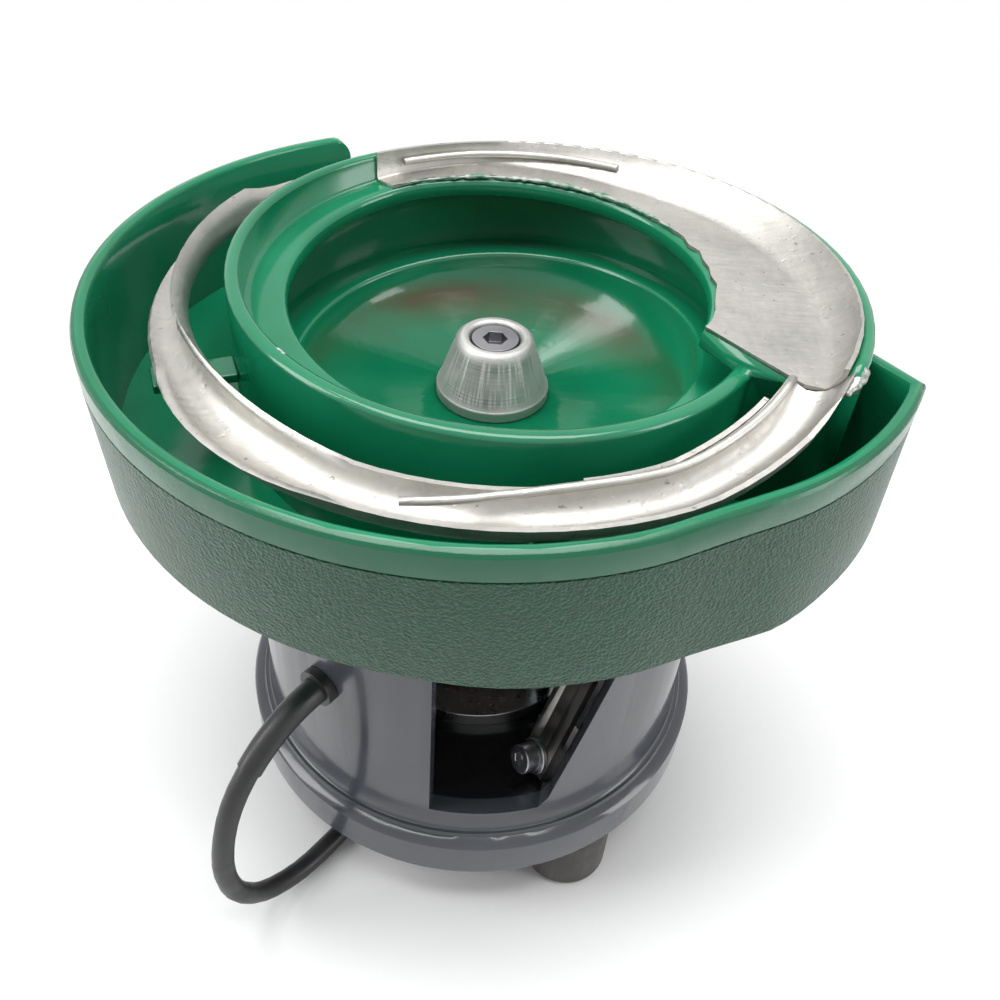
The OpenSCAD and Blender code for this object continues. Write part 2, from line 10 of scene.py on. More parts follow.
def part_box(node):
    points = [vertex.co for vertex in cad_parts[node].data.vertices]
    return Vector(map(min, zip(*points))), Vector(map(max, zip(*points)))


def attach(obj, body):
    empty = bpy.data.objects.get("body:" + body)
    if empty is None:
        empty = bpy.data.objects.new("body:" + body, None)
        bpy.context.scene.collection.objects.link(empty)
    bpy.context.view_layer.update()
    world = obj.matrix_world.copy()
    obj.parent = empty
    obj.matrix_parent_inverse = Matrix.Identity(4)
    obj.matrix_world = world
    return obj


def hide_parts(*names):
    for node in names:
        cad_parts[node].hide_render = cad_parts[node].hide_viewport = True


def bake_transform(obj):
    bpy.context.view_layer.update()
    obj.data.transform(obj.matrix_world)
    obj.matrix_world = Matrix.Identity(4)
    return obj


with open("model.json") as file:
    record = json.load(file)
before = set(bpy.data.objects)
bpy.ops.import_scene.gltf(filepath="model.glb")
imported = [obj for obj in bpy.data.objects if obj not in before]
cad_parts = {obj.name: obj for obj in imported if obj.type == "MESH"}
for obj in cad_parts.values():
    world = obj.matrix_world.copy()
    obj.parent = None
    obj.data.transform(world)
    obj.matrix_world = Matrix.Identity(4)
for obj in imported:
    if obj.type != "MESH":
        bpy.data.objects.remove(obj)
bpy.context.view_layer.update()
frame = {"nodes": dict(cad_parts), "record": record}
NODES = frame["nodes"]
BODY = {n: b for b, names in frame["record"]["behaviour"]["bodies"].items() for n in names}
SLOT = {s["node"]: s["material_slot"] for s in frame["record"]["subparts"]}
MM = 0.001


def at(r, phi, z):
    """A place in the frame, in metres, from millimetres and the clockwise angle in degrees."""
    a = math.radians(phi)
    return Vector((r * math.cos(a), -r * math.sin(a), z)) * MM


def table(x, *points):
    """Straight-line value at x from (x, value) points."""
    if x <= points[0][0]:
        return points[0][1]
    for (x0, y0), (x1, y1) in zip(points, points[1:]):
        if x <= x1:
            return y0 + (y1 - y0) * (x - x0) / (x1 - x0)
    return points[-1][1]


# ---------------------------------------------------------------- camera
# degrees: down from level, right of +Y, and anticlockwise seen from behind the camera
CAMERA_PITCH, CAMERA_YAW, CAMERA_ROLL = 41.63, 1.19, 4.64
CAMERA_PLACE = (0, -0.1812, 0.2487)
CAMERA_LENS = 36
CAMERA_SENSOR = 36
CAMERA_NEAR = 0.01


def make_camera():
    """A camera placed from where the round rims of bowl, pan and base appear."""
    pitch, yaw, roll = (math.radians(v) for v in (CAMERA_PITCH, CAMERA_YAW, CAMERA_ROLL))
    look = Vector((math.sin(yaw) * math.cos(pitch), math.cos(yaw) * math.cos(pitch), -math.sin(pitch)))
    level_right = Vector((math.cos(yaw), -math.sin(yaw), 0))
    level_up = level_right.cross(look)
    right = math.cos(roll) * level_right + math.sin(roll) * level_up
    up = -math.sin(roll) * level_right + math.cos(roll) * level_up
    data = bpy.data.cameras.new("camera")
    data.lens = CAMERA_LENS
    data.sensor_width = CAMERA_SENSOR
    data.clip_start = CAMERA_NEAR
    cam = bpy.data.objects.new("camera", data)
    turn = Matrix((right, up, -look)).transposed().to_4x4()
    cam.matrix_world = Matrix.Translation(CAMERA_PLACE) @ turn
    bpy.context.collection.objects.link(cam)
    bpy.context.scene.camera = cam


make_camera()


# ---------------------------------------------------------------- materials
COAT_ROUGH = 0.05
# a colour Mix node's sockets by place, because their names repeat
MIX_FACTOR, MIX_A, MIX_B, MIX_RESULT = 0, 6, 7, 2


def material(name, color, rough, metal=0.0, coat=0.0):
    """A material with plain values, which a Graph can build on."""
    mat = bpy.data.materials.new(name)
    mat.use_nodes = True
    shader = mat.node_tree.nodes["Principled BSDF"]
    shader.inputs["Base Color"].default_value = (*color, 1)
    shader.inputs["Roughness"].default_value = rough
    shader.inputs["Metallic"].default_value = metal
    shader.inputs["Coat Weight"].default_value = coat
    shader.inputs["Coat Roughness"].default_value = COAT_ROUGH
    return mat


class Graph:
    """Short calls for building one material's nodes."""

    def __init__(self, mat):
        self.tree = mat.node_tree
        self.shader = self.tree.nodes["Principled BSDF"]
        self.place = self.tree.nodes.new("ShaderNodeTexCoord").outputs["Object"]

    def feed(self, socket, value):
        """Link a socket to another node's, or set its plain value."""
        if isinstance(value, bpy.types.NodeSocket):
            self.tree.links.new(value, socket)
        else:
            socket.default_value = value

    def add(self, kind, **values):
        """A new node: names that start with p_ are its properties, the others its sockets."""
        made = self.tree.nodes.new(kind)
        for key, value in values.items():
            if key.startswith("p_"):
                setattr(made, key[2:], value)
            else:
                self.feed(made.inputs[key], value)
        return made

    def scaled(self, scale):
        """The place on the piece, stretched by a factor for each axis."""
        made = self.add("ShaderNodeMapping", Vector=self.place)
        made.inputs["Scale"].default_value = scale
        return made.outputs["Vector"]

    def noise(self, scale, detail=3.0, rough=0.55, vector=None):
        return self.add("ShaderNodeTexNoise", Vector=vector or self.place, Scale=scale,
                        Detail=detail, Roughness=rough).outputs["Fac"]

    def ramp(self, value, low, high, to=(0.0, 1.0)):
        """The value's range from low to high laid onto another range, and held at its ends."""
        made = self.add("ShaderNodeMapRange", Value=value)
        for key, v in (("From Min", low), ("From Max", high), ("To Min", to[0]), ("To Max", to[1])):
            made.inputs[key].default_value = v
        return made.outputs["Result"]

    def math(self, op, a, b=0.0):
        made = self.add("ShaderNodeMath", p_operation=op)
        self.feed(made.inputs[0], a)
        self.feed(made.inputs[1], b)
        return made.outputs[0]

    def mix(self, fac, a, b):
        """Colour a where fac is 0, colour b where it is 1."""
        made = self.add("ShaderNodeMix", p_data_type="RGBA")
        self.feed(made.inputs[MIX_FACTOR], fac)
        for i, color in ((MIX_A, a), (MIX_B, b)):
            self.feed(made.inputs[i], (*color, 1) if isinstance(color, tuple) else color)
        return made.outputs[MIX_RESULT]

    def bump(self, height, strength, distance):
        return self.add("ShaderNodeBump", Height=height, Strength=strength,
                        Distance=distance).outputs["Normal"]

    def xyz(self):
        """The three coordinates of the place on the piece."""
        parts = self.add("ShaderNodeSeparateXYZ", Vector=self.place).outputs
        return parts["X"], parts["Y"], parts["Z"]

    def radius(self):
        """Distance from the drive axis."""
        x, y, _ = self.xyz()
        return self.math("SQRT", self.math("ADD", self.math("MULTIPLY", x, x), self.math("MULTIPLY", y, y)))

    def distance_to(self, place):
        """Distance from a fixed place on the piece."""
        away = self.add("ShaderNodeVectorMath", p_operation="DISTANCE", Vector=self.place)
        away.inputs[1].default_value = place
        return away.outputs["Value"]

    def set(self, name, value):
        self.tree.links.new(value, self.shader.inputs[name])


# Pairs below are where a ramp starts and where it is full, in metres.
DEEP_GREEN = (0.0040, 0.130, 0.058)
BRIGHT_GREEN = (0.0075, 0.225, 0.104)
# the nut stands on the well's floor
WELL_FLOOR_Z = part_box("cone_nut")[0][2]
# olive-dark at the foot of the well's back wall: brass dust, together with a painted reflection of the
# brass and painted shade in the corner
DUST_AND_SHADE_COLOR = (0.060, 0.060, 0.016)
DUST_AND_SHADE_HEIGHT = (0.0055, 0.0005)
DUST_AND_SHADE_RADIUS = (0.026, 0.040)
DUST_AND_SHADE_Y = (-0.012, 0.030)
# a pale spot on the rim's inner edge: a painted highlight, the glint that this edge shows
PAINTED_GLINT_COLOR = (0.62, 0.66, 0.62)
PAINTED_GLINT_PLACE = at(50.7, 135.5, 151)
PAINTED_GLINT_EDGE = (0.0022, 0.0019)
PAINTED_GLINT_RAGGED = 0.0016


def drifting_green(g):
    """The coating's own colour, which drifts slowly between two tones."""
    return g.mix(g.ramp(g.noise(scale=16), 0.3, 0.7), DEEP_GREEN, BRIGHT_GREEN)


def green_coating():
    """Thick gloss coating with orange peel; brass dust rubbed in on the floor at the back wall's foot, with
    a painted reflection of the brass and painted shade in that corner; a pale painted highlight on the
    rim's edge.
    """
    mat = material("green_coating", BRIGHT_GREEN, 0.14, coat=0.15)
    g = Graph(mat)
    _, y, z = g.xyz()
    low = g.ramp(z, WELL_FLOOR_Z + DUST_AND_SHADE_HEIGHT[0], WELL_FLOOR_Z + DUST_AND_SHADE_HEIGHT[1])
    ring = g.ramp(g.radius(), *DUST_AND_SHADE_RADIUS)
    back = g.ramp(y, *DUST_AND_SHADE_Y)
    patch = g.ramp(g.noise(scale=30, detail=4), 0.30, 0.62)
    # brass dust with painted reflection and painted shade where the floor meets the back wall
    dust_and_shade = g.math("MULTIPLY", g.math("MULTIPLY", low, ring), g.math("MULTIPLY", back, patch))
    dusted_and_shaded = g.mix(dust_and_shade, drifting_green(g), DUST_AND_SHADE_COLOR)
    # painted highlight: a pale glint with a ragged edge on the rim
    ragged = g.math("MULTIPLY", g.noise(scale=900), PAINTED_GLINT_RAGGED)
    painted_glint = g.ramp(g.math("ADD", g.distance_to(PAINTED_GLINT_PLACE), ragged), *PAINTED_GLINT_EDGE)
    g.set("Base Color", g.mix(painted_glint, dusted_and_shaded, PAINTED_GLINT_COLOR))
    g.set("Roughness", g.ramp(g.noise(scale=60, detail=4), 0.35, 0.75, to=(0.10, 0.24)))
    fine_peel = g.math("MULTIPLY", g.noise(scale=700, detail=2), 0.15)
    peel = g.math("ADD", g.noise(scale=170, detail=2), fine_peel)
    g.set("Normal", g.bump(peel, strength=0.28, distance=0.0002))
    return mat


PAN_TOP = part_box("return_pan")[1][2]
PAN_SPECULAR = 0.42
# how far the parting line lies below the pan's rim
PARTING_DEPTH = (0.0060, 0.0064)
BAND_GREEN = (0.004, 0.110, 0.048)
# the pebbled skin's colour follows its height: painted highlight on the raised parts, painted shade in the
# hollows
PEBBLE_SHADE = (0.006, 0.040, 0.022)
PEBBLE_HIGHLIGHT = (0.016, 0.082, 0.045)
SKIN_DUST = (0.040, 0.062, 0.026)


def pan_coating():
    """Gloss inside, fine band under the rim, pebbled skin below the parting line outside, whose raised
    parts are lighter as painted highlight and whose hollows are darker as painted shade.
    """
    mat = material("pan_coating", BRIGHT_GREEN, 0.2)
    g = Graph(mat)
    g.shader.inputs["Specular IOR Level"].default_value = PAN_SPECULAR
    x, y, z = g.xyz()
    geo = g.tree.nodes.new("ShaderNodeNewGeometry")
    normal = g.add("ShaderNodeSeparateXYZ", Vector=geo.outputs["True Normal"]).outputs
    outward = g.math("ADD", g.math("MULTIPLY", x, normal["X"]), g.math("MULTIPLY", y, normal["Y"]))
    outside = g.ramp(outward, 0.02, 0.03)
    low = g.ramp(z, PAN_TOP - PARTING_DEPTH[0], PAN_TOP - PARTING_DEPTH[1])
    skin = g.math("MULTIPLY", outside, low)

    cells = g.add("ShaderNodeTexVoronoi", p_feature="SMOOTH_F1", Vector=g.place, Scale=1900.0)
    grit = g.math("MULTIPLY", g.noise(scale=1100, detail=4, rough=0.65), 0.8)
    pebble = g.math("ADD", cells.outputs["Distance"], grit)
    band = g.math("MULTIPLY", g.math("MULTIPLY", g.noise(scale=1500), outside), 0.10)
    peel = g.math("MULTIPLY", g.noise(scale=170, detail=2), 0.12)
    height = g.math("ADD", g.math("ADD", g.math("MULTIPLY", pebble, skin), band), peel)
    g.set("Normal", g.bump(height, strength=1.0, distance=0.00042))

    # painted highlight on the raised parts of the skin, painted shade in its hollows
    lit_and_shaded_skin = g.mix(g.ramp(pebble, 0.45, 1.05), PEBBLE_SHADE, PEBBLE_HIGHLIGHT)
    wear = g.math("MULTIPLY", g.ramp(g.noise(scale=24), 0.4, 0.75), 0.35)
    dusty = g.mix(wear, lit_and_shaded_skin, SKIN_DUST)
    g.set("Base Color", g.mix(outside, drifting_green(g), g.mix(low, BAND_GREEN, dusty)))
    g.set("Roughness", g.ramp(g.math("ADD", outside, skin), 0.0, 2.0, to=(0.13, 0.30)))
    return mat


ENAMEL_DARK = (0.042, 0.047, 0.058)
ENAMEL_LIGHT = (0.066, 0.072, 0.086)
# near black inside the housing: painted shade in the recess
PAINTED_HOUSING_SHADE = (0.012, 0.012, 0.015)
# the housing's bore, and the height above which its inside is painted dark as shade
HOUSING_BORE = (0.0512, 0.0508)
HOUSING_FLOOR = (0.0365, 0.0372)


def base_enamel():
    """Gloss enamel with orange peel; the inside of the housing is painted near black as painted shade."""
    mat = material("base_enamel", (0.06, 0.065, 0.08), 0.14, coat=0.3)
    g = Graph(mat)
    _, _, z = g.xyz()
    shell = g.mix(g.ramp(g.noise(scale=10), 0.35, 0.65), ENAMEL_DARK, ENAMEL_LIGHT)
    # painted shade inside the housing's bore
    shaded_inside = g.math("MULTIPLY", g.ramp(g.radius(), *HOUSING_BORE), g.ramp(z, *HOUSING_FLOOR))
    g.set("Base Color", g.mix(shaded_inside, shell, PAINTED_HOUSING_SHADE))
    g.set("Roughness", g.ramp(g.noise(scale=50, detail=4), 0.3, 0.8, to=(0.11, 0.28)))
    g.set("Normal", g.bump(g.noise(scale=90), strength=0.10, distance=0.0003))
    return mat


STAINLESS = (0.56, 0.545, 0.51)
STAINLESS_SPECKS = (0.10, 0.09, 0.07)
STAINLESS_ROUGH = 0.40
STAINLESS_DULL = 0.62


def stainless():
    """Hand-dressed sheet: long scratches, cloudy stains, small pits and dark specks."""
    mat = material("stainless", STAINLESS, STAINLESS_ROUGH, metal=1.0)
    g = Graph(mat)
    scratch = g.noise(scale=140, detail=6, rough=0.72, vector=g.scaled((1, 7, 1)))
    cross = g.noise(scale=170, detail=5, rough=0.7, vector=g.scaled((6, 1, 1)))
    tone = g.ramp(g.noise(scale=38, detail=5, rough=0.65), 0.28, 0.72)
    specks = g.math("MULTIPLY", g.ramp(g.noise(scale=620, rough=0.6), 0.66, 0.72), 0.6)
    worn = g.mix(tone, tuple(c * STAINLESS_DULL for c in STAINLESS), STAINLESS)
    g.set("Base Color", g.mix(specks, worn, STAINLESS_SPECKS))
    streaks = g.math("ADD", scratch, g.math("MULTIPLY", cross, 0.6))
    rubbed = g.ramp(streaks, 0.55, 1.05, to=(STAINLESS_ROUGH * 0.75, STAINLESS_ROUGH * 1.3))
    g.set("Roughness", g.math("ADD", rubbed, g.ramp(tone, 0, 1, to=(0.10, 0.0))))
    dents = g.math("MULTIPLY", g.noise(scale=60), 0.8)
    pits = g.math("MULTIPLY", g.ramp(g.noise(scale=480, detail=2), 0.62, 0.70), 0.5)
    height = g.math("SUBTRACT", g.math("ADD", g.math("MULTIPLY", streaks, 0.25), dents), pits)
    g.set("Normal", g.bump(height, strength=0.30, distance=0.00022))
    return mat


TOOL_MARKS = 2600.0
TURNED_DARK = (0.36, 0.36, 0.35)
TURNED_LIGHT = (0.52, 0.52, 0.50)


def turned_aluminium():
    """Matt turned aluminium with rings of tool marks and grey handling."""
    mat = material("turned_aluminium", (0.46, 0.46, 0.45), 0.5, metal=0.75)
    g = Graph(mat)
    _, _, z = g.xyz()
    rings = g.add("ShaderNodeTexNoise", p_noise_dimensions="1D", W=g.math("MULTIPLY", z, TOOL_MARKS),
                  Scale=1.0, Detail=2.0).outputs["Fac"]
    blasted = g.math("MULTIPLY", g.noise(scale=900), 0.8)
    g.set("Normal", g.bump(g.math("ADD", rings, blasted), strength=0.35, distance=0.0001))
    g.set("Base Color", g.mix(g.ramp(g.noise(scale=60, detail=4), 0.3, 0.7), TURNED_DARK, TURNED_LIGHT))
    g.set("Roughness", g.ramp(g.noise(scale=200), 0.3, 0.7, to=(0.44, 0.62)))
    return mat


COLOR_DRIFT = 0.25


def plain_part(name, color, rough, metal=0.0, bump=0.2, scale=300):
    """Small parts: a base colour that drifts, with a fine surface."""
    mat = material(name, color, rough, metal=metal)
    g = Graph(mat)
    dark = tuple(c * (1 - COLOR_DRIFT) for c in color)
    light = tuple(min(1, c * (1 + COLOR_DRIFT)) for c in color)
    g.set("Base Color", g.mix(g.ramp(g.noise(scale * 0.2), 0.3, 0.7), dark, light))
    g.set("Roughness", g.ramp(g.noise(scale * 0.6), 0.3, 0.7, to=(rough * 0.8, min(1, rough * 1.25))))
    g.set("Normal", g.bump(g.noise(scale * 4), strength=bump, distance=0.0001))
    return mat


MATERIALS = {
    "green_coating": green_coating(),
    "base_enamel": base_enamel(),
    "stainless": stainless(),
    "turned_aluminium": turned_aluminium(),
    "foot_rubber": plain_part("foot_rubber", (0.055, 0.050, 0.045), 0.55, bump=0.4, scale=260),
    "dark_steel": plain_part("dark_steel", (0.10, 0.10, 0.11), 0.4, metal=0.8),
    "screw_steel": plain_part("screw_steel", (0.32, 0.32, 0.34), 0.32, metal=1.0),
    "bright_steel": plain_part("bright_steel", (0.52, 0.52, 0.53), 0.3, metal=1.0),
    "core_laminate": plain_part("core_laminate", (0.06, 0.06, 0.065), 0.45, metal=0.6),
    "copper_coil": plain_part("copper_coil", (0.040, 0.017, 0.010), 0.3, metal=0.2),
    "spring_steel": plain_part("spring_steel", (0.26, 0.25, 0.235), 0.36, metal=1.0),
    "plate_aluminium": plain_part("plate_aluminium", (0.42, 0.43, 0.45), 0.35, metal=1.0),
    "black_plastic": plain_part("black_plastic", (0.012, 0.012, 0.013), 0.38, bump=0.25),
    "cable_jacket": plain_part("cable_jacket", (0.014, 0.014, 0.015), 0.42, bump=0.15),
}
# nodes that have a material of their own instead of their slot's
OWN_MATERIALS = {"return_pan": pan_coating()}


# ---------------------------------------------------------------- pieces
# a face of the web at the plate's end reaches from beyond the first radius to within the second
TALL_WALL_R, LOW_WALL_R = 68.9 * MM, 56 * MM
MERGE_DISTANCE = 2e-6
FLAT_ANGLE = math.radians(0.6)
SHARP_ANGLE = math.radians(35)
BEVEL_SEGMENTS = 2


def open_plate_end(bm):
    """Drop the thin web from the tall wall's end to the low wall's top, and close both wall ends."""
    def radius(v):
        return math.hypot(v.co.x, v.co.y)

    foot_z = min(v.co.z for v in bm.verts)
    web = [f for f in bm.faces
           if max(map(radius, f.verts)) > TALL_WALL_R and min(map(radius, f.verts)) < LOW_WALL_R
           and max(v.co.z for v in f.verts) > foot_z + MM]
    bmesh.ops.delete(bm, geom=web, context="FACES")
    # walk round the open rim, up the tall wall first, from its outermost low point
    rim = [e for e in bm.edges if len(e.link_faces) == 1]
    foot = max({v for e in rim for v in e.verts}, key=lambda v: radius(v) - (v.co.z - foot_z))
    loop = [foot]
    while True:
        ways = [e.other_vert(loop[-1]) for e in rim if loop[-1] in e.verts]
        ways = [v for v in ways if v not in loop[-2:]]
        step = max(ways, key=lambda v: v.co.z) if len(loop) == 1 else ways[0]
        if step is foot:
            break
        loop.append(step)
    tall = [v for v in loop[1:] if radius(v) > LOW_WALL_R]
    low = [v for v in loop[1:] if radius(v) < LOW_WALL_R]
    # a corner on the outer edge, level with the tall wall's inner foot, parts the two ends
    side = next(e for e in foot.link_edges if e.other_vert(foot) is tall[0])
    share = (tall[-1].co.z - foot_z) / (tall[0].co.z - foot_z)
    corner = bmesh.utils.edge_split(side, foot, share)[1]
    bm.faces.new([corner] + tall)
    bm.faces.new([low[-1], foot, corner, tall[-1], low[-2]])
    for a, b in zip(low[:-1], low[1:-1]):
        bm.faces.new([tall[-1], a, b])
    bmesh.ops.recalc_face_normals(bm, faces=bm.faces)


def tidy_copy(node, bevel):
    """A welded, smooth-shaded piece that stands for a CAD node, with rounded edges if bevel isn't 0."""
    piece = bpy.data.objects.new(node + "_dressed", NODES[node].data.copy())
    bpy.context.collection.objects.link(piece)
    bm = bmesh.new()
    bm.from_mesh(piece.data)
    bmesh.ops.remove_doubles(bm, verts=bm.verts, dist=MERGE_DISTANCE)
    if node == "spiral_bowl":
        open_plate_end(bm)
    if bevel:
        bmesh.ops.dissolve_limit(bm, angle_limit=FLAT_ANGLE, verts=bm.verts, edges=bm.edges)
    bm.to_mesh(piece.data)
    bm.free()
    piece.data.shade_smooth()
    piece.data.set_sharp_from_angle(angle=SHARP_ANGLE)
    if bevel:
        mod = piece.modifiers.new("rounded", "BEVEL")
        mod.width = bevel
        mod.segments = BEVEL_SEGMENTS
        mod.limit_method = "ANGLE"
        mod.angle_limit = SHARP_ANGLE
        mod.harden_normals = True
        mod.use_clamp_overlap = True
    return piece


def dress(piece, mat):
    """Give a piece its only material."""
    piece.data.materials.clear()
    piece.data.materials.append(mat)


def stand_for(node, bevel):
    """The dressed piece of one CAD node, on the node's own body; a leaf spring's stays on no body, its
    place baked into its mesh.
    """
    piece = tidy_copy(node, bevel)
    dress(piece, OWN_MATERIALS.get(node) or MATERIALS[SLOT[node]])
    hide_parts(node)
    if node.startswith("leaf_spring"):
        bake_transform(piece)
    else:
        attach(piece, BODY[node])


# width of each node's rounded edges, in metres
EDGES = {
    "base_casting": 0.0005, "return_pan": 0.0006, "cone_nut": 0.0003, "centre_bolt": 0.0002,
    "rubber_foot_1": 0.0005, "rubber_foot_2": 0.0005, "rubber_foot_3": 0.0005,
    "lower_screws": 0.0003, "upper_screws": 0.0003, "lower_clamps": 0.0002, "upper_clamps": 0.0002,
    "leaf_spring_1": 0.0, "leaf_spring_2": 0.0, "leaf_spring_3": 0.0,
    "vibration_plate": 0.0005, "magnet_bracket": 0.0003, "magnet_core": 0.0003, "coil_winding": 0.002,
    "armature": 0.0003, "channel_bracket_1": 0.0004, "channel_bracket_2": 0.0004,
    "channel_bracket_3": 0.0004, "strain_relief": 0.0003, "plug_body": 0.0005, "plug_collar": 0.0004,
    "bottom_cover": 0.0003, "cover_screws": 0.0002, "bracket_screws": 0.0003, "armature_screws": 0.0002,
    "foot_studs": 0.0002, "spiral_bowl": 0.0, "track_liner": 0.0, "hold_down_wire": 0.0,
    "discharge_channel": 0.0, "edge_strip": 0.0, "guide_wire": 0.0,
}
for node_name, width in EDGES.items():
    stand_for(node_name, width)


# ---------------------------------------------------------------- welds and sealant
BEAD_SIDES = 10
# sway and lumps as shares of a bead's unevenness, height as a share of its width
BEAD_SWAY = 0.3
BEAD_LUMPS = 0.25
BEAD_HEIGHT = 0.8
# how a bead runs out at its two ends
BEAD_END = 0.6
BEAD_FADE = 0.4


def bead(name, line, radius, uneven, mat, node, seed):
    """A lumpy run of weld or sealant along a line of places, closed at both ends."""
    draw = random.Random(seed)
    bm = bmesh.new()
    rings = []
    last = len(line) - 1
    for i, place in enumerate(line):
        ahead = (line[min(i + 1, last)] - line[max(i - 1, 0)]).normalized()
        side = ahead.cross(Vector((0, 0, 1))).normalized()
        up = side.cross(ahead)
        fade = math.sin(math.pi * (i + BEAD_END) / (last + 2 * BEAD_END)) ** BEAD_FADE
        size = radius * fade * (1 + uneven * draw.uniform(-1, 1))
        middle = place + side * draw.uniform(-BEAD_SWAY, BEAD_SWAY) * uneven * radius
        ring = []
        for k in range(BEAD_SIDES):
            a = 2 * math.pi * k / BEAD_SIDES
            r = size * (1 + BEAD_LUMPS * uneven * draw.uniform(-1, 1))
            ring.append(bm.verts.new(middle + (side * math.cos(a) + up * BEAD_HEIGHT * math.sin(a)) * r))
        rings.append(ring)
    for a, b in zip(rings, rings[1:]):
        for k in range(BEAD_SIDES):
            n = (k + 1) % BEAD_SIDES
            bm.faces.new((a[k], a[n], b[n], b[k]))
    bm.faces.new(list(reversed(rings[0])))
    bm.faces.new(rings[-1])
    bmesh.ops.recalc_face_normals(bm, faces=bm.faces)
    mesh = bpy.data.meshes.new(name)
    bm.to_mesh(mesh)
    bm.free()
    piece = bpy.data.objects.new(name, mesh)
    bpy.context.collection.objects.link(piece)
    smoothing = piece.modifiers.new("rounded", "SUBSURF")
    smoothing.levels = smoothing.render_levels = 1
    mesh.shade_smooth()
    dress(piece, mat)
    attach(piece, BODY[node])


def arc_line(r, z, start, stop, step):
    """Places along an arc; r and z are (angle, value) points."""
    count = max(2, round(abs(stop - start) / step))
    angles = [start + (stop - start) * i / count for i in range(count + 1)]
    return [at(table(a, *r), a, table(a, *z)) for a in angles]


def weld_metal():
    """Weld with burnt and bright patches."""
    mat = material("weld_metal", (0.40, 0.40, 0.38), 0.38, metal=0.9)
    g = Graph(mat)
    burnt = g.ramp(g.noise(scale=420, detail=4), 0.35, 0.65)
    g.set("Base Color", g.mix(burnt, (0.16, 0.17, 0.15), (0.52, 0.53, 0.50)))
    g.set("Normal", g.bump(g.noise(scale=700, detail=4), strength=0.6, distance=0.0003))
    return mat


def sealant():
    """Clear sealant that has picked up green and grey."""
    mat = material("sealant", (0.20, 0.30, 0.24), 0.22)
    g = Graph(mat)
    grey = g.ramp(g.noise(scale=240, detail=4), 0.4, 0.6)
    g.set("Base Color", g.mix(grey, (0.030, 0.16, 0.080), (0.42, 0.45, 0.40)))
    g.set("Normal", g.bump(g.noise(scale=380), strength=0.5, distance=0.0003))
    return mat


# degrees and millimetres: where the channel's rim meets the track wall, and the liner's inner edge
WELD_LINE = arc_line([(26.5, 72.9), (32.5, 71.9)], [(26.0, 152.9), (32.5, 151.3)],
                     start=26.0, stop=32.5, step=0.8)
SEALANT_LINE = arc_line([(236, 43.2), (330, 43.2)], [(236, 149.7), (330, 150.0)],
                        start=236, stop=330, step=0.9)
bead("end_weld", WELD_LINE, radius=0.0013, uneven=0.5, mat=weld_metal(),
     node="discharge_channel", seed=3)
bead("liner_sealant", SEALANT_LINE, radius=0.0006, uneven=0.8, mat=sealant(),
     node="track_liner", seed=5)


# ---------------------------------------------------------------- cable
CABLE_D = 5.0
CABLE_ROUTE = [
    (-29, -38.5, 69), (-33, -44, 69), (-37, -49.3, 68.5), (-41, -54.6, 66.5),
    (-45, -60, 62.5), (-48.5, -64.5, 56.5), (-51, -67.5, 49), (-52.5, -69.5, 40),
    (-53, -70, 31), (-52, -69, 22), (-49.5, -65.5, 13.5), (-46, -60.5, 7.5),
    (-41, -54, 4), (-36, -47, 2.9), (-30, -38, 2.6), (-24, -27, 2.6),
    (-19, -14, 2.6), (-16, 0, 2.6), (-15, 15, 2.6), (-16, 30, 2.6),
    (-20, 44, 2.6), (-26, 57, 2.6), (-33, 70, 2.6), (-35.8, 83, 2.6),
]
TAIL_ROUTE = [
    (20.7, 129.7, 12.5), (28.7, 126.4, 12.3), (36.7, 121, 11.5), (44, 114, 10.4), (49, 105, 9.5),
    (51.5, 96, 9), (52, 86, 9),
]
CABLE_STEPS = 2
CABLE_ROUNDNESS = 4
COIL_CENTRE = (0, 98)
COIL_OUT, COIL_IN = 32.6, 27.5
COIL_LAYERS = (2.55, 7.6, 12.65)
COIL_TURNS = 6.3
COIL_STEPS = 24
# the steps left out where the route comes in, and the share of a turn that a change of place takes
COIL_FIRST_STEP = 2
COIL_CROSSING = 0.4


def coil_points():
    """Clockwise turns seen from above: out, in, in, out, in, out, three layers high."""
    low, middle, high = COIL_LAYERS
    turns = [(COIL_OUT, low), (COIL_IN, low), (COIL_IN, middle), (COIL_OUT, middle),
             (COIL_IN, high), (COIL_OUT, high)]
    out = []
    for i in range(COIL_FIRST_STEP, int(COIL_TURNS * COIL_STEPS) + 1):
        turn = i / COIL_STEPS
        k = min(int(turn), len(turns) - 1)
        after = min(k + 1, len(turns) - 1)
        part = turn - k
        t = max(0.0, (part - (1 - COIL_CROSSING)) / COIL_CROSSING) if part < 1 else 1.0
        t = t * t * (3 - 2 * t)
        r = turns[k][0] + (turns[after][0] - turns[k][0]) * t
        z = turns[k][1] + (turns[after][1] - turns[k][1]) * t
        a = math.radians(180 - 360 * turn)
        out.append((COIL_CENTRE[0] + r * math.cos(a), COIL_CENTRE[1] + r * math.sin(a), z))
    return out


def smooth_line(points, steps):
    """Points along one smooth curve through the given ones."""
    out = []
    for i in range(len(points) - 1):
        a, b = Vector(points[max(i - 1, 0)]), Vector(points[i])
        c, d = Vector(points[i + 1]), Vector(points[min(i + 2, len(points) - 1)])
        for j in range(steps):
            t = j / steps
            out.append(0.5 * (2 * b + (c - a) * t + (2 * a - 5 * b + 4 * c - d) * t * t
                              + (3 * b - a - 3 * c + d) * t ** 3))
    out.append(Vector(points[-1]))
    return out


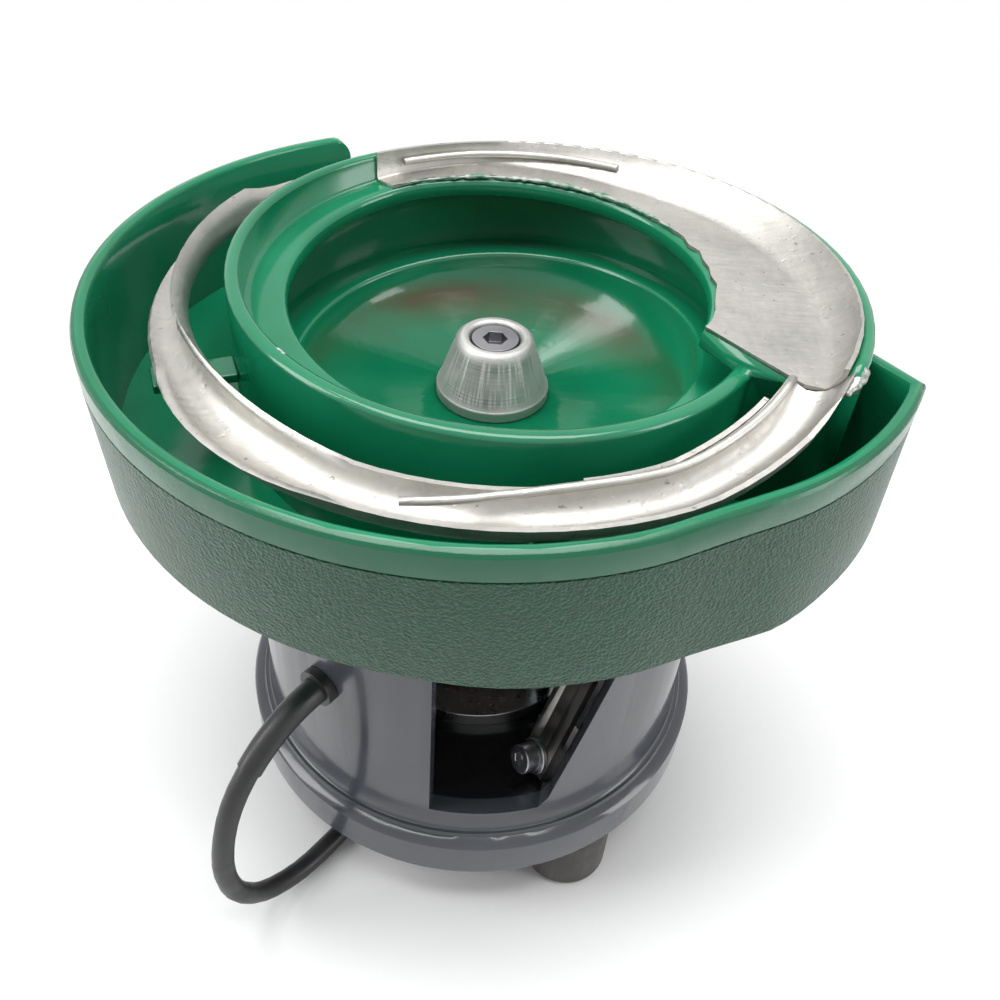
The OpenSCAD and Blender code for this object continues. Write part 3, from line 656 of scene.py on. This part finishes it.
def make_cable():
    """One cable from the strain relief through the coil to the connector."""
    line = smooth_line(CABLE_ROUTE + coil_points() + TAIL_ROUTE, CABLE_STEPS)
    curve = bpy.data.curves.new("power_cable", "CURVE")
    curve.dimensions = "3D"
    curve.bevel_depth = CABLE_D / 2 * MM
    curve.bevel_resolution = CABLE_ROUNDNESS
    spline = curve.splines.new("POLY")
    spline.points.add(len(line) - 1)
    for point, place in zip(spline.points, line):
        point.co = (*(place * MM), 1)
    piece = bpy.data.objects.new("power_cable", curve)
    bpy.context.collection.objects.link(piece)
    dress(piece, MATERIALS["cable_jacket"])
    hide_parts("power_cord", "cord_coil", "cord_tail")
    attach(piece, "base")


make_cable()


# ---------------------------------------------------------------- studio
FLOOR_WHITE = (0.93, 0.93, 0.93)
FLOOR_HALF = 3.0
# radius up to which the floor shows shadow, and from which it is as white as the background
FLOOR_SHADOW = (0.14, 0.40)
# how strongly the white surroundings light the object, and how bright they look
WORLD_LIGHT, WORLD_SEEN = 0.24, 1.0
LAMP_TARGET = (0, 0, 0.1)
# name, place, width and height, power
LAMPS = [
    ("overhead", (0.0, -0.02, 0.95), (0.8, 0.6), 10),
    ("left_window", (-0.75, -0.15, 0.55), (0.35, 0.7), 4.5),
    ("right_fill", (0.8, -0.25, 0.35), (0.3, 0.6), 2.5),
]


def pale_floor():
    """White floor that keeps the shadow near the object and runs into the white background away from it."""
    mat = material("floor", FLOOR_WHITE, 0.7)
    g = Graph(mat)
    seen = g.tree.nodes.new("ShaderNodeLightPath").outputs["Is Camera Ray"]
    glow = g.add("ShaderNodeEmission", Strength=1.0)
    far = g.ramp(g.radius(), *FLOOR_SHADOW)
    blend = g.add("ShaderNodeMixShader", Fac=g.math("MULTIPLY", far, seen))
    g.tree.links.new(g.shader.outputs["BSDF"], blend.inputs[1])
    g.tree.links.new(glow.outputs["Emission"], blend.inputs[2])
    g.tree.links.new(blend.outputs["Shader"], g.tree.nodes["Material Output"].inputs["Surface"])
    return mat


def make_world():
    """White surroundings, dimmer as a light than as what is seen directly, mirrored or through."""
    world = bpy.data.worlds.new("studio")
    bpy.context.scene.world = world
    world.use_nodes = True
    tree = world.node_tree
    tree.nodes.clear()
    out = tree.nodes.new("ShaderNodeOutputWorld")
    back = tree.nodes.new("ShaderNodeBackground")
    back.inputs["Color"].default_value = (1, 1, 1, 1)
    path = tree.nodes.new("ShaderNodeLightPath")
    seen = path.outputs["Is Camera Ray"]
    for ray in ("Is Transmission Ray", "Is Glossy Ray"):
        either = tree.nodes.new("ShaderNodeMath")
        either.operation = "MAXIMUM"
        tree.links.new(seen, either.inputs[0])
        tree.links.new(path.outputs[ray], either.inputs[1])
        seen = either.outputs[0]
    level = tree.nodes.new("ShaderNodeMapRange")
    level.inputs["To Min"].default_value = WORLD_LIGHT
    level.inputs["To Max"].default_value = WORLD_SEEN
    tree.links.new(seen, level.inputs["Value"])
    tree.links.new(level.outputs["Result"], back.inputs["Strength"])
    tree.links.new(back.outputs["Background"], out.inputs["Surface"])


def make_lamp(name, place, size, power):
    """A rectangular lamp that faces the object."""
    data = bpy.data.lights.new(name, "AREA")
    data.shape = "RECTANGLE"
    data.size, data.size_y = size
    data.energy = power
    lamp = bpy.data.objects.new(name, data)
    lamp.location = place
    lamp.rotation_euler = (Vector(LAMP_TARGET) - Vector(place)).to_track_quat("-Z", "Y").to_euler()
    bpy.context.collection.objects.link(lamp)


def make_floor():
    """The studio's floor, which isn't part of the object."""
    mesh = bpy.data.meshes.new("floor")
    bm = bmesh.new()
    bmesh.ops.create_grid(bm, x_segments=2, y_segments=2, size=FLOOR_HALF)
    bm.to_mesh(mesh)
    bm.free()
    floor = bpy.data.objects.new("floor", mesh)
    bpy.context.collection.objects.link(floor)
    mesh.materials.append(pale_floor())


make_world()
for lamp_values in LAMPS:
    make_lamp(*lamp_values)
make_floor()
bpy.context.scene.view_settings.view_transform = "Standard"
